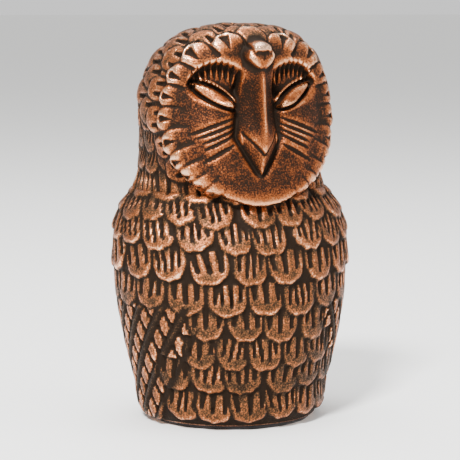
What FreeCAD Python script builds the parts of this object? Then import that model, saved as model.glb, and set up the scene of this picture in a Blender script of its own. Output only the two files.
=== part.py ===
import FreeCAD, Part

# A hollow cast owl figurine with an antique copper finish, which stands on a felt pad.
#
# The owl faces -Y, +Z is up, and the origin is the middle of the felt pad's underside.  Sizes are
# millimetres.  It is founded as two hollow castings, torso and head.  The head's spigot drops into
# the torso's neck opening and is held from inside by a braze bead.  A disc closes the bottom on three
# countersunk screws, and a felt pad covers the disc and the screws.

import os

import Sketcher
from FreeCAD import Placement, Rotation, Vector

DOC = FreeCAD.newDocument("owl_figurine")
SCREWS = 3

# ---------------------------------------------------------------- driving dimensions

# Each level is one ellipse that a casting's outside passes through: its height above the rest face,
# its width across the wings, its depth from breast to back, and how far its middle sits back.
TORSO_LEVELS = {
    "foot": (1.2, 46.0, 45.2, 0.0),
    "hem": (4.2, 50.6, 49.6, 0.0),
    "thigh": (18.0, 57.6, 54.6, 0.0),
    "belly": (33.0, 62.8, 57.4, 0.2),
    "breast": (47.0, 66.4, 56.6, 0.4),
    "shoulder": (56.0, 65.0, 52.4, 0.9),
    "collar": (61.0, 60.4, 47.6, 1.3),
    "neck": (65.0, 53.4, 41.6, 1.6),
}
HEAD_LEVELS = {
    "nape": (65.0, 50.6, 40.4, 1.6),
    "cheek": (75.0, 50.8, 41.0, 0.9),
    "ear": (85.0, 51.6, 42.0, 0.2),
    "brow": (94.0, 50.8, 41.2, -0.6),
    "crown": (102.0, 46.6, 37.6, -2.2),
    "cap": (107.4, 34.6, 27.4, -4.4),
    "top": (110.0, 13.0, 10.4, -5.6),
}
# The beak ridge starts as a drop on the forehead, narrows between the eyes, and ends in a point.
BEAK_LEVELS = {
    "peak": (104.8, 3.6, 4.0, -17.4),
    "drop": (101.6, 8.2, 10.4, -18.6),
    "bridge": (95.6, 7.6, 11.6, -19.8),
    "nose": (88.4, 9.2, 12.6, -21.0),
    "bill": (80.0, 11.6, 13.0, -22.0),
    "hook": (75.0, 7.2, 9.2, -22.8),
    "tip": (70.0, 1.6, 1.8, -24.6),
}
# The torso's hollow follows these levels of its outside, less the wall.
HOLLOW_LEVELS = ("thigh", "belly", "breast", "shoulder")

# Closed outlines, each a smooth curve through a few points: the wing's and the tail's are (y, z) and
# (x, z), and the facial disc's is half of it, (x, z from the disc's middle), mirrored about x = 0.
WING = [(-9, 57), (-14, 49), (-13, 38), (-7, 25), (2, 13), (11, 6.5), (17, 10), (21, 25), (22, 42), (10, 56)]
TAIL = [(-9, 26), (-8, 7), (0, 2.8), (8, 7), (9, 26), (0, 30)]
DISC = [(0, 20.4), (10.5, 22.4), (20.4, 16), (24.2, 4), (21.4, -8), (12.6, -16.4), (0, -19.4)]

SIZES = {
    "wall": 3.2,
    # felt pad
    "pad_radius": 22.4,
    "pad_thick": 1.2,
    "pad_edge": 0.4,
    # closing disc, and its seat in the torso
    "plate_radius": 21.0,
    "plate_thick": 2.0,
    "plate_gap": 0.2,
    "mouth_radius": 19.2,
    "mouth_deep": 0.9,
    "mouth_step": 0.4,
    # countersunk M3 screws, and the bosses that they bite into
    "screw_circle": 36.0,
    "screw_radius": 1.5,
    "screw_long": 8.0,
    "screw_tip": 0.5,
    "head_radius": 2.9,
    "head_tall": 1.5,
    "head_sunk": 0.1,
    "slot_wide": 0.8,
    "slot_deep": 0.7,
    "hole_gap": 0.15,
    "boss_radius": 3.4,
    "boss_tall": 9.5,
    "web_thick": 3.0,
    "web_reach": 23.6,
    # neck joint
    "spigot_radius": 14.4,
    "spigot_bore": 11.4,
    "spigot_drop": 6.5,
    "neck_gap": 0.1,
    "bead_leg": 2.4,
    # facial disc: a plate bowed about an upright axis, dished, and leaning back at the top
    "face_middle": 80.4,
    "face_front": -23.2,
    "face_back": -9.0,
    "face_bow": 36.0,
    "face_lean": 9.0,
    "face_rim": 2.2,
    "face_dish": 1.8,
    "chin_gap": 0.15,
    # closed eyes
    "eye_long": 6.8,
    "eye_tall": 2.0,
    "eye_deep": 2.4,
    "eye_out": 11.8,
    "eye_up": 10.9,
    "eye_back": -17.9,
    "eye_slant": 31.0,
    "eye_turn": 19.0,
    # how far the wings and the tail stand proud of the torso
    "wing_lift": 1.2,
    "tail_lift": 1.6,
}


def make_sheet():
    """Writes every driving dimension to the document's spreadsheet, one aliased cell each."""
    sheet = DOC.addObject("Spreadsheet::Sheet", "sizes")
    cells = dict(SIZES)
    for levels in (TORSO_LEVELS, HEAD_LEVELS, BEAK_LEVELS):
        for name, values in levels.items():
            for what, value in zip(("height", "width", "depth", "back"), values):
                cells[f"{name}_{what}"] = value
    for row, (alias, value) in enumerate(cells.items(), start=1):
        sheet.set(f"A{row}", alias)
        sheet.set(f"B{row}", str(value))
        sheet.setAlias(f"B{row}", alias)
    DOC.recompute()
    return sheet


SHEET = make_sheet()


def size(alias):
    """The value that a cell of the spreadsheet holds."""
    return float(SHEET.get(alias))


# ---------------------------------------------------------------- small builders


def bind(thing, **formulas):
    """Binds an object's properties to formulas of the sheet; base_x, base_y and base_z are its place."""
    for name, formula in formulas.items():
        prop = name.replace("base_", "Placement.Base.") if name.startswith("base_") else name
        thing.setExpression(prop, formula)
    return thing


def level_ring(name, level, grow="0 * sizes.wall"):
    """One ellipse of a casting's outside at a level, grown outwards by a formula."""
    oval = DOC.addObject("Part::Ellipse", name)
    longer, shorter = "width", "depth"
    if size(f"{level}_depth") > size(f"{level}_width"):
        longer, shorter = "depth", "width"
        oval.Placement = Placement(Vector(), Rotation(Vector(0, 0, 1), 90))
    return bind(
        oval,
        MajorRadius=f"sizes.{level}_{longer} / 2 + {grow}",
        MinorRadius=f"sizes.{level}_{shorter} / 2 + {grow}",
        base_y=f"sizes.{level}_back",
        base_z=f"sizes.{level}_height",
    )


def loft(name, rings):
    """A solid through a stack of closed wires."""
    solid = DOC.addObject("Part::Loft", name)
    solid.Sections = rings
    solid.Solid = True
    return solid


def stack(name, levels, grow="0 * sizes.wall"):
    """A loft through the named levels, all grown by the same formula."""
    return loft(name, [level_ring(f"{name}_{level}", level, grow) for level in levels])


def cylinder(name, radius, height, bottom):
    """An upright cylinder on the axis, bound to formulas."""
    drum = DOC.addObject("Part::Cylinder", name)
    return bind(drum, Radius=radius, Height=height, base_z=bottom)


def cut(name, base, tool):
    """base less tool."""
    made = DOC.addObject("Part::Cut", name)
    made.Base = base
    made.Tool = tool
    return made


def fuse(name, pieces):
    """All the pieces as one solid."""
    made = DOC.addObject("Part::MultiFuse", name)
    made.Shapes = pieces
    return made


def common(name, pieces):
    """What all the pieces share."""
    made = DOC.addObject("Part::MultiCommon", name)
    made.Shapes = pieces
    return made


def prism(name, points, along, reach):
    """A closed smooth outline extruded both ways: (y, z) points along X, or (x, z) points along Y."""
    if along == "X":
        corners = [Vector(0, first, up) for first, up in points]
        direction = Vector(1, 0, 0)
    else:
        corners = [Vector(first, 0, up) for first, up in points]
        direction = Vector(0, 1, 0)
    curve = Part.BSplineCurve()
    curve.interpolate(corners, PeriodicFlag=True)
    outline = DOC.addObject("Part::Feature", f"{name}_outline")
    outline.Shape = Part.Wire([curve.toShape()])
    solid = DOC.addObject("Part::Extrusion", name)
    solid.Base = outline
    solid.DirMode = "Custom"
    solid.Dir = direction
    solid.LengthFwd = reach
    solid.LengthRev = reach
    solid.Solid = True
    return solid


def ellipsoid(name, radius_x, radius_y, radius_z):
    """A whole ellipsoid with its three radii bound to formulas."""
    egg = DOC.addObject("Part::Ellipsoid", name)
    egg.Angle1, egg.Angle2, egg.Angle3 = -90, 90, 360
    return bind(egg, Radius2=radius_x, Radius3=radius_y, Radius1=radius_z)


def new_sketch(body, name, role):
    """A sketch on one of the body's own origin planes."""
    sketch = body.newObject("Sketcher::SketchObject", name)
    plane = next(f for f in body.Origin.OriginFeatures if f.Role == role)
    sketch.AttachmentSupport = (plane, [""])
    sketch.MapMode = "FlatFace"
    return sketch


def sketch_circle(sketch, radius):
    """A circle round the sketch's origin, its radius bound to a formula."""
    index = sketch.addGeometry(Part.Circle(Vector(0, 0, 0), Vector(0, 0, 1), 5.0), False)
    sketch.addConstraint(Sketcher.Constraint("Coincident", index, 3, -1, 1))
    across = sketch.addConstraint(Sketcher.Constraint("Radius", index, 5.0))
    sketch.setExpression(f"Constraints[{across}]", radius)


def sketch_outline(sketch, corners):
    """A closed polygon whose every corner is held at an (x formula, y formula)."""
    values = [Vector(*[float(SHEET.evalExpression(f)) for f in corner], 0) for corner in corners]
    count = len(values)
    for i in range(count):
        sketch.addGeometry(Part.LineSegment(values[i], values[(i + 1) % count]), False)
    for i in range(count):
        sketch.addConstraint(Sketcher.Constraint("Coincident", i, 2, (i + 1) % count, 1))
    for i, (across, up) in enumerate(corners):
        for kind, formula, value in (("DistanceX", across, values[i].x), ("DistanceY", up, values[i].y)):
            held = sketch.addConstraint(Sketcher.Constraint(kind, -1, 1, i, 1, value))
            sketch.setExpression(f"Constraints[{held}]", formula)


def around(i):
    """The turn of the i-th screw about the axis, in degrees; the first is at the back."""
    return 90 + 360 * i / SCREWS


# ---------------------------------------------------------------- torso casting


def torso_casting():
    """The hollow torso: ovoid shell with wings and tail, neck opening, disc's seat and screw bosses."""
    ovoid = stack("torso_outside", TORSO_LEVELS)
    blank = fuse("torso_blank", [ovoid, wings(), tail()])
    bosses = [boss(i) for i in range(SCREWS)]
    shell = cut("torso_shell", blank, fuse("torso_core", torso_core()))
    solid = fuse("torso_bossed", [shell] + bosses)
    return cut("torso_casting", solid, fuse("screw_holes", [screw_hole(i) for i in range(SCREWS)]))


def wings():
    """Both folded wings, each a raised panel that sweeps from the shoulder back to the tail."""
    proud = stack("wing_skin", TORSO_LEVELS, "sizes.wing_lift")
    return common("wings", [proud, prism("wing_prism", WING, "X", 40)])


def tail():
    """The short tail, a raised panel low on the back."""
    proud = stack("tail_skin", TORSO_LEVELS, "sizes.tail_lift")
    behind = DOC.addObject("Part::Box", "behind")
    behind.Length, behind.Width, behind.Height = 40, 40, 60
    behind.Placement = Placement(Vector(-20, 12, 0), Rotation())
    return common("tail", [proud, prism("tail_prism", TAIL, "Y", 40), behind])


def torso_core():
    """What is hollow in the torso: its core, the disc's seat, the mouth and the neck opening."""
    mouth_ring = DOC.addObject("Part::Ellipse", "mouth_ring")
    bind(
        mouth_ring,
        MajorRadius="sizes.mouth_radius + 2 * sizes.mouth_step",
        MinorRadius="sizes.mouth_radius + sizes.mouth_step",
        base_z="sizes.pad_thick + sizes.plate_thick + sizes.mouth_deep",
    )
    rings = [level_ring(f"core_{level}", level, "-sizes.wall") for level in HOLLOW_LEVELS]
    ceiling = level_ring("core_ceiling", "collar", "-1.6 * sizes.wall")
    bind(ceiling, base_z="sizes.neck_height - sizes.wall")
    seat_drop = 2
    return [
        loft("torso_hollow", [mouth_ring] + rings + [ceiling]),
        cylinder(
            "disc_seat",
            "sizes.plate_radius + sizes.plate_gap",
            f"sizes.plate_thick + {seat_drop}",
            f"sizes.pad_thick - {seat_drop}",
        ),
        cylinder(
            "mouth",
            "sizes.mouth_radius",
            "sizes.plate_thick + 2 * sizes.mouth_deep",
            "sizes.pad_thick",
        ),
        cylinder(
            "neck_opening",
            "sizes.spigot_radius + sizes.neck_gap",
            "2 * sizes.wall",
            "sizes.neck_height - 1.5 * sizes.wall",
        ),
    ]


def boss(i):
    """A pillar for one screw, tied to the wall by a web."""
    turn = around(i)
    pillar = DOC.addObject("Part::Cylinder", f"pillar_{i}")
    bind(pillar, Radius="sizes.boss_radius", Height="sizes.boss_tall")
    stand(pillar, i, "sizes.pad_thick + sizes.plate_thick")
    web = DOC.addObject("Part::Box", f"web_{i}")
    web.Placement = Placement(Vector(), Rotation(Vector(0, 0, 1), turn))
    bind(
        web,
        Length="sizes.web_reach - sizes.screw_circle / 2",
        Width="sizes.web_thick",
        Height="sizes.boss_tall",
        base_x=f"sizes.screw_circle / 2 * cos({turn} deg) + sizes.web_thick / 2 * sin({turn} deg)",
        base_y=f"sizes.screw_circle / 2 * sin({turn} deg) - sizes.web_thick / 2 * cos({turn} deg)",
        base_z="sizes.pad_thick + sizes.plate_thick",
    )
    return fuse(f"boss_{i}", [pillar, web])


def screw_hole(i):
    """The blind hole that a screw's thread fills, a little deeper than the screw is long."""
    hole = DOC.addObject("Part::Cylinder", f"screw_hole_{i}")
    bind(hole, Radius="sizes.screw_radius", Height="sizes.screw_long + 1")
    return stand(hole, i, "sizes.pad_thick + sizes.head_sunk")


def stand(thing, i, bottom):
    """Stands a round thing on the screw circle at the i-th screw."""
    turn = around(i)
    return bind(
        thing,
        base_x=f"sizes.screw_circle / 2 * cos({turn} deg)",
        base_y=f"sizes.screw_circle / 2 * sin({turn} deg)",
        base_z=bottom,
    )


# ---------------------------------------------------------------- head casting


def head_casting():
    """The hollow head: rounded block, dished facial disc, beak ridge, closed eyes and neck spigot."""
    block = stack("head_outside", HEAD_LEVELS)
    beak = stack("beak_ridge", BEAK_LEVELS)
    spigot = cylinder(
        "spigot",
        "sizes.spigot_radius",
        "sizes.spigot_drop + sizes.wall",
        "sizes.nape_height - sizes.spigot_drop",
    )
    solid = fuse("head_solid", [block, facial_disc(), beak, eye(-1), eye(1), spigot])
    hollow = ellipsoid(
        "head_hollow",
        "sizes.ear_width / 2 - sizes.wall",
        "sizes.ear_depth / 2 - sizes.wall",
        "(sizes.top_height - sizes.nape_height) / 2 - sizes.wall",
    )
    bind(hollow, base_y="sizes.ear_back", base_z="(sizes.top_height + sizes.nape_height) / 2")
    bore = cylinder(
        "spigot_bore",
        "sizes.spigot_bore",
        "sizes.spigot_drop + 3 * sizes.wall",
        "sizes.nape_height - sizes.spigot_drop - 1",
    )
    return cut("head_casting", solid, fuse("head_core", [hollow, bore]))


def facial_disc():
    """The facial disc: a bowed plate with a raised rim round a dished floor, clear of the breast."""
    front = bowed_bar("disc_front", 0, "sizes.face_bow")
    floor = bowed_bar("disc_floor", size("face_rim"), "sizes.face_bow - sizes.face_dish")
    # The floor's bar is shallower than the plate, so it is taken from the plate's front only.
    rim_bar = prism("rim_bar", disc_outline(size("face_rim")), "Y", 40)
    rim = cut("disc_rim", front, rim_bar)
    upright = fuse("disc_upright", [rim, floor])
    DOC.recompute()
    leaning = DOC.addObject("Part::Feature", "disc_leaning")
    leaning.Shape = upright.Shape.copy()
    leaning.Placement = Placement(
        Vector(0, 0, 0),
        Rotation(Vector(1, 0, 0), -size("face_lean")),
        Vector(0, size("face_front"), size("face_middle")),
    )
    breast = stack("breast_clearance", TORSO_LEVELS, "sizes.chin_gap")
    return cut("facial_disc", leaning, breast)


def disc_outline(inset):
    """The disc's whole heart-shaped outline, drawn in by inset."""
    wide = max(x for x, _ in DISC)
    tall = max(z for _, z in DISC)
    half = [(x * (1 - inset / wide), z * (1 - inset / tall) + size("face_middle")) for x, z in DISC]
    return half + [(-x, z) for x, z in reversed(half[1:-1])]


def bowed_bar(name, inset, bow):
    """A bar along Y with the disc's outline, cut to the drum whose front is the bowed face."""
    bar = prism(f"{name}_bar", disc_outline(inset), "Y", 40)
    drum = DOC.addObject("Part::Cylinder", f"{name}_drum")
    bind(
        drum,
        Radius=bow,
        Height="sizes.face_middle",
        base_y="sizes.face_front + sizes.face_bow",
        base_z="sizes.face_middle / 2",
    )
    front_half = DOC.addObject("Part::Box", f"{name}_front_half")
    front_half.Length, front_half.Width, front_half.Height = 80, 40, 160
    front_half.Placement = Placement(Vector(-40, size("face_back") - 40, 0), Rotation())
    return common(name, [bar, drum, front_half])


def eye(side):
    """One closed almond eye, its outer corner higher than its inner; side is -1 for the owl's right."""
    almond = ellipsoid(f"eye_{side + 1}", "sizes.eye_long", "sizes.eye_deep", "sizes.eye_tall")
    slant = Rotation(Vector(0, 1, 0), -side * size("eye_slant"))
    turn = Rotation(Vector(0, 0, 1), side * size("eye_turn"))
    almond.Placement = Placement(Vector(), turn * slant)
    return bind(
        almond,
        base_x=f"{side} * sizes.eye_out",
        base_y="sizes.eye_back",
        base_z="sizes.face_middle + sizes.eye_up",
    )


# ---------------------------------------------------------------- joint, closing disc, screws, pad


def neck_braze():
    """The bead inside the torso, in the corner between its ceiling and the head's spigot."""
    body = DOC.addObject("PartDesign::Body", "neck_braze")
    sketch = new_sketch(body, "bead_section", "XZ_Plane")
    ceiling = "sizes.neck_height - sizes.wall"
    corners = [
        ("sizes.spigot_radius", ceiling),
        ("sizes.spigot_radius", f"{ceiling} - sizes.bead_leg"),
        ("sizes.spigot_radius + sizes.bead_leg", ceiling),
    ]
    sketch_outline(sketch, corners)
    bead = body.newObject("PartDesign::Revolution", "bead")
    bead.Profile = sketch
    bead.ReferenceAxis = (sketch, ["V_Axis"])
    bead.Angle = 360
    return body


def base_plate():
    """The disc that closes the bottom, with three countersunk holes that the screws' heads fill."""
    body = DOC.addObject("PartDesign::Body", "base_plate")
    outline = new_sketch(body, "disc_outline", "XY_Plane")
    sketch_circle(outline, "sizes.plate_radius")
    outline.setExpression("AttachmentOffset.Base.z", "sizes.pad_thick")
    disc = body.newObject("PartDesign::Pad", "disc")
    disc.Profile = outline
    bind(disc, Length="sizes.plate_thick")

    section = new_sketch(body, "hole_section", "XZ_Plane")
    axis = "sizes.screw_circle / 2"
    head = "sizes.pad_thick + sizes.head_sunk"
    slope = "sizes.head_tall / (sizes.head_radius - sizes.screw_radius)"
    clear = "(sizes.screw_radius + sizes.hole_gap)"
    corners = [
        (axis, "sizes.pad_thick - 1"),
        (f"{axis} + sizes.head_radius", "sizes.pad_thick - 1"),
        (f"{axis} + sizes.head_radius", head),
        (f"{axis} + {clear}", f"{head} + (sizes.head_radius - {clear}) * {slope}"),
        (f"{axis} + {clear}", "sizes.pad_thick + sizes.plate_thick + 1"),
        (axis, "sizes.pad_thick + sizes.plate_thick + 1"),
    ]
    sketch_outline(section, corners)
    DOC.recompute()
    hole = body.newObject("PartDesign::Groove", "hole")
    hole.Profile = section
    hole.ReferenceAxis = (section, ["Edge6"])
    hole.Angle = 360
    DOC.recompute()
    ring = body.newObject("PartDesign::PolarPattern", "holes")
    ring.Originals = [hole]
    ring.Axis = (outline, ["N_Axis"])
    ring.Angle = 360
    ring.Occurrences = SCREWS
    body.Tip = ring
    body.Placement = Placement(Vector(), Rotation(Vector(0, 0, 1), around(0)))
    DOC.recompute()
    if not ring.Shape.Volume < hole.Shape.Volume < disc.Shape.Volume:
        raise RuntimeError("the closing disc's holes cut nothing")
    return body


def base_screws():
    """Three slotted countersunk screws, heads down, as one group of separate solids."""
    bottom = size("pad_thick") + size("head_sunk")
    top = bottom + size("screw_long")
    shank = size("screw_radius")
    head = size("head_radius")
    corners = [
        Vector(0, 0, bottom),
        Vector(head, 0, bottom),
        Vector(shank, 0, bottom + size("head_tall")),
        Vector(shank, 0, top - size("screw_tip")),
        Vector(shank - size("screw_tip"), 0, top),
        Vector(0, 0, top),
    ]
    blank = Part.Face(Part.makePolygon(corners + corners[:1])).revolve(Vector(), Vector(0, 0, 1), 360)
    screws = []
    for i in range(SCREWS):
        slot = Part.makeBox(3 * head, size("slot_wide"), size("slot_deep"))
        slot.translate(Vector(-1.5 * head, -size("slot_wide") / 2, bottom))
        slot.rotate(Vector(), Vector(0, 0, 1), 25 + 50 * i)
        screw = blank.cut(slot)
        screw.translate(Vector(size("screw_circle") / 2, 0, 0))
        screw.rotate(Vector(), Vector(0, 0, 1), around(i))
        screws.append(screw)
    group = DOC.addObject("Part::Feature", "base_screws")
    group.Shape = Part.Compound(screws)
    return group


def felt_pad():
    """The felt disc stuck under the foot, its lower edge worn round."""
    body = DOC.addObject("PartDesign::Body", "felt_pad")
    sketch = new_sketch(body, "pad_outline", "XY_Plane")
    sketch_circle(sketch, "sizes.pad_radius")
    pad = body.newObject("PartDesign::Pad", "pad")
    pad.Profile = sketch
    bind(pad, Length="sizes.pad_thick")
    DOC.recompute()
    rims = [
        f"Edge{n}"
        for n, edge in enumerate(pad.Shape.Edges, start=1)
        if edge.CenterOfMass.z < size("pad_thick") / 4
    ]
    worn = body.newObject("PartDesign::Chamfer", "worn_edge")
    worn.Base = (pad, rims)
    bind(worn, Size="sizes.pad_edge")
    return body


# ---------------------------------------------------------------- build, check and write


def main():
    """Builds every sub-part, checks it and writes its STEP file."""
    makers = (torso_casting, head_casting, neck_braze, base_plate, base_screws, felt_pad)
    pieces = {maker.__name__: maker() for maker in makers}
    DOC.recompute()
    failed = [thing.Name for thing in DOC.Objects if {"Invalid", "Error"} & set(thing.State)]
    if failed:
        raise RuntimeError(f"these objects failed: {failed}")
    for name, piece in pieces.items():
        piece.Label = name
        shape = piece.Shape
        if shape.isNull() or not shape.isValid() or not shape.Solids:
            raise RuntimeError(f"{name} isn't a valid solid")
        print(f"{name}: {len(shape.Solids)} solid(s), {shape.Volume:.0f} mm3")
    os.makedirs("parts", exist_ok=True)
    for name, piece in pieces.items():
        piece.Shape.exportStep(f"parts/{name}.step")


main()
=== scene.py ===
"""Models the looks of a hollow cast owl figurine with an antique copper finish.

The two castings are sculpted as fine meshes: a primitive is laid onto the casting's smooth form, and
its vertices are then raised and sunk feather by feather, as a carver cuts the pattern.  Lengths in
the sculpting functions are millimetres, and every mesh ends up in metres in the frame's own axes:
the owl faces -Y and +Z is up.
"""

import math

import bpy
import numpy as np
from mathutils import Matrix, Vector


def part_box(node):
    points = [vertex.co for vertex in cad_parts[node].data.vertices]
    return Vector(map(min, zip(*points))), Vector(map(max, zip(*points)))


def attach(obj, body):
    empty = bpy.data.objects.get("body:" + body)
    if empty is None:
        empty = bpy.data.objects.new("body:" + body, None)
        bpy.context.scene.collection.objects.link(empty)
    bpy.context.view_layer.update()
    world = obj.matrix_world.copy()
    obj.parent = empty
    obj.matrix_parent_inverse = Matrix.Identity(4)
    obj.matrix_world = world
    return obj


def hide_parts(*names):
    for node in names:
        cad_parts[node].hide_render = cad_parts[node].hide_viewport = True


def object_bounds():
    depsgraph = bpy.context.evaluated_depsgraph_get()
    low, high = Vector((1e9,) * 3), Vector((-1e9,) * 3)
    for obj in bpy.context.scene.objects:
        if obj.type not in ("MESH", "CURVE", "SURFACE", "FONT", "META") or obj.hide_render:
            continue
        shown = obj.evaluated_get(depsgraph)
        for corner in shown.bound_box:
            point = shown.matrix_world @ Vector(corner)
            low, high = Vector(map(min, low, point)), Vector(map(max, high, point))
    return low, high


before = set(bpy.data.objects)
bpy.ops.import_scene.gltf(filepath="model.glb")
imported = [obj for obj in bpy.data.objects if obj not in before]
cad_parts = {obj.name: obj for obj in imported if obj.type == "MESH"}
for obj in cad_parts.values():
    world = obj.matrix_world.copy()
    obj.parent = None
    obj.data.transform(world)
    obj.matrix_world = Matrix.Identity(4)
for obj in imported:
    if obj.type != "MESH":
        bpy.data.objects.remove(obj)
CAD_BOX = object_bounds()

bl_info = {
    "name": "Owl Figurine",
    "version": (1, 0, 0),
    "blender": (4, 5, 0),
    "location": "3D View > Sidebar > Owl",
    "description": "Sculpts a cast owl figurine with an antique copper finish",
    "category": "Add Mesh",
}

MM = 0.001
COPPER = "cast_copper_alloy_antique_patina"

# Sculpted meshes: faces round and up the outside, and hidden rows inside.
AROUND = 520
UP = 172
TORSO_HIDDEN = 14
HEAD_HIDDEN = 12
# How much the casting rounds the carving, and the two widths over which wear is judged.
CAST_SOFTNESS = 0.4
WIDE_WEAR = 2.0
SHARP_WEAR = 0.6

# ---- the owl's smooth forms

# Torso, bottom to top: height, half width, half depth, and how far back the middle sits.
TORSO_LEVELS = np.array([
    (1.2, 23.8, 23.0, 0.0),
    (4.2, 25.3, 24.4, 0.0),
    (11.0, 26.4, 25.4, 0.0),
    (18.0, 28.2, 27.0, 0.0),
    (33.0, 31.2, 28.6, 0.2),
    (47.0, 32.9, 28.3, 0.4),
    (56.0, 32.2, 26.0, 0.9),
    (61.0, 29.9, 23.6, 1.3),
    (63.4, 28.1, 22.0, 1.5),
    (65.0, 26.6, 21.0, 1.6),
])
# Head, nape to where the dome begins: height, half width, half depth, and how far back.
HEAD_LEVELS = np.array([
    (60.0, 26.6, 21.0, 1.6),
    (65.0, 26.6, 21.0, 1.6),
    (69.0, 25.4, 20.6, 1.2),
    (75.0, 24.9, 20.3, 0.8),
    (85.0, 25.0, 20.6, 0.3),
    (120.0, 25.0, 20.6, 0.3),
])
DOME_FROM = 84.0
DOME_TOP = 109.7
DOME_POWER = 3.0
HEAD_HEART = np.array([0.0, -1.0, 84.0])

# Facial disc: its heart-shaped outline as half of it, (across, up from its middle).
DISC_OUTLINE = np.array([
    (0.0, 20.4), (6.8, 21.4), (12.0, 20.4), (16.2, 17.6), (19.6, 12.8), (21.6, 6.0),
    (20.8, -1.0), (18.6, -7.4), (15.2, -12.2), (10.8, -15.6), (5.4, -18.0), (0.0, -18.8),
])
DISC_MIDDLE = 80.4
DISC_FRONT = -23.0
DISC_BOW = 36.0
DISC_LEAN = math.radians(9)
RUFF_REACH = 4.6
RUFF_ROLL = 5.5
# The head's curve behind the disc, by which a distance along the skin becomes an angle.
HEAD_CURVE = 27.0
# Everything ahead of this belongs to the face.
FACE_BACK = -6.0

# Rest of the castings, which nobody sees from outside.
WALL = 3.2
NECK = 65.0
# The head's skin runs this far down inside the torso's edge, so that the joint shows no gap.
HEAD_FOOT = NECK - 1.2
# Nothing of the neck lies further forward than this, and all of the disc's chin does.
CHIN_BACK = -20.5
NECK_BORE = 14.5
SPIGOT = 14.4
SPIGOT_BORE = 11.4
SPIGOT_FOOT = 58.5
SPIGOT_ROWS = ((SPIGOT, 63.0), (SPIGOT, SPIGOT_FOOT), (SPIGOT_BORE, SPIGOT_FOOT), (SPIGOT_BORE, 66.5))
# The hollow in the head: floor, roof, middle, half height, half width and half depth.
HOLLOW = (70.5, 105.5, 88.0, 18.0, 23.0, 17.4)
JOINT_GAP = 0.6
SEAT = 21.2
MOUTH = 19.2
FOOT = 1.2
SEAT_TOP = 3.2


def hermite(at, knots, values):
    """A smooth curve through a few knots."""
    slopes = np.gradient(values, knots)
    at = np.clip(at, knots[0], knots[-1])
    i = np.clip(np.searchsorted(knots, at, side="right") - 1, 0, len(knots) - 2)
    span = knots[i + 1] - knots[i]
    t = (at - knots[i]) / span
    first = (1 + 2 * t) * (1 - t) ** 2 * values[i] + t ** 2 * (3 - 2 * t) * values[i + 1]
    second = t * (1 - t) ** 2 * slopes[i] - t ** 2 * (1 - t) * slopes[i + 1]
    return first + second * span


def ramp(value, low, high):
    """0 below low, 1 above high, and smooth between."""
    t = np.clip((value - low) / (high - low), 0.0, 1.0)
    return t * t * (3 - 2 * t)


def fall(value, low, high):
    """1 below low, 0 above high, and smooth between."""
    return 1 - ramp(value, low, high)


def hump(offset, width):
    """1 where there is no offset, and away smoothly over the width on both sides."""
    return np.exp(-(offset / width) ** 2)


def softest(a, b, blend):
    """The lesser of two distances, with the crease between them rounded over blend."""
    near = np.clip(0.5 + 0.5 * (b - a) / blend, 0.0, 1.0)
    return b + (a - b) * near - blend * near * (1 - near)


def torso_size(height):
    """Half width, half depth and setback of the torso at each height."""
    return [hermite(height, TORSO_LEVELS[:, 0], TORSO_LEVELS[:, k]) for k in (1, 2, 3)]


def torso_point(turn, height, inset=0.0):
    """A point of the torso's skin; turn is 0 in front and grows towards the owl's left."""
    wide, deep, back = torso_size(height)
    return np.stack([
        (wide - inset) * np.sin(turn),
        back - (deep - inset) * np.cos(turn),
        np.broadcast_to(height, np.shape(turn)),
    ], axis=-1)


def disc_angle_and_reach(across, up):
    """Angle round the disc's middle, distance from it, and the outline's own distance that way."""
    angle = np.arctan2(up, np.abs(across))
    outline_angle = np.arctan2(DISC_OUTLINE[::-1, 1], DISC_OUTLINE[::-1, 0])
    outline_reach = np.hypot(DISC_OUTLINE[::-1, 0], DISC_OUTLINE[::-1, 1])
    return angle, np.hypot(across, up), hermite(angle, outline_angle, outline_reach)


def disc_front(across, height):
    """How far back the bowed, leaning disc's face is."""
    bow = DISC_BOW - np.sqrt(np.maximum(DISC_BOW ** 2 - across ** 2, 1.0))
    return DISC_FRONT + bow + math.tan(DISC_LEAN) * (height - DISC_MIDDLE)


def head_field(p):
    """Rough distance of each point from the head's smooth skin, less than nought inside."""
    x, y, z = p[..., 0], p[..., 1], p[..., 2]
    wide, deep, back = [hermite(z, HEAD_LEVELS[:, 0], HEAD_LEVELS[:, k]) for k in (1, 2, 3)]
    climb = np.clip((z - DOME_FROM) / (DOME_TOP - DOME_FROM), 0.0, None)
    back = back - 6.0 * np.clip(climb, 0.0, 1.1) ** 1.5
    power = 2.0 + 0.2 * ramp(z, NECK, NECK + 8.0)
    plan = (np.abs(x / wide) ** power + np.abs((y - back) / deep) ** power) ** (1 / power)
    skull = ((plan ** 2.6 + climb ** DOME_POWER) ** (1 / 2.6) - 1) * deep
    angle, reach, outline = disc_angle_and_reach(x, z - DISC_MIDDLE)
    depth = y - disc_front(x, z)
    ruff = RUFF_REACH * ramp(np.sin(angle), -0.95, 0.45)
    beyond = np.clip(reach - outline, 0.0, None)
    # The ruff rolls back from the disc's edge like the shoulder of a cushion.
    roll = RUFF_ROLL - np.sqrt(np.clip(RUFF_ROLL ** 2 - np.clip(beyond, 0, RUFF_ROLL - 0.1) ** 2, 0.1, None))
    side = reach - outline - ruff
    slab = -softest(-side, depth - roll, 1.6)
    slab = -softest(-slab, 13.0 - depth, 3.0)
    return softest(skull, slab, 3.0)


# ---- the carver's marks


# Marks stop where the skin turns away from the mark's own place by more than this cosine.
FACING = 0.2


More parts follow.
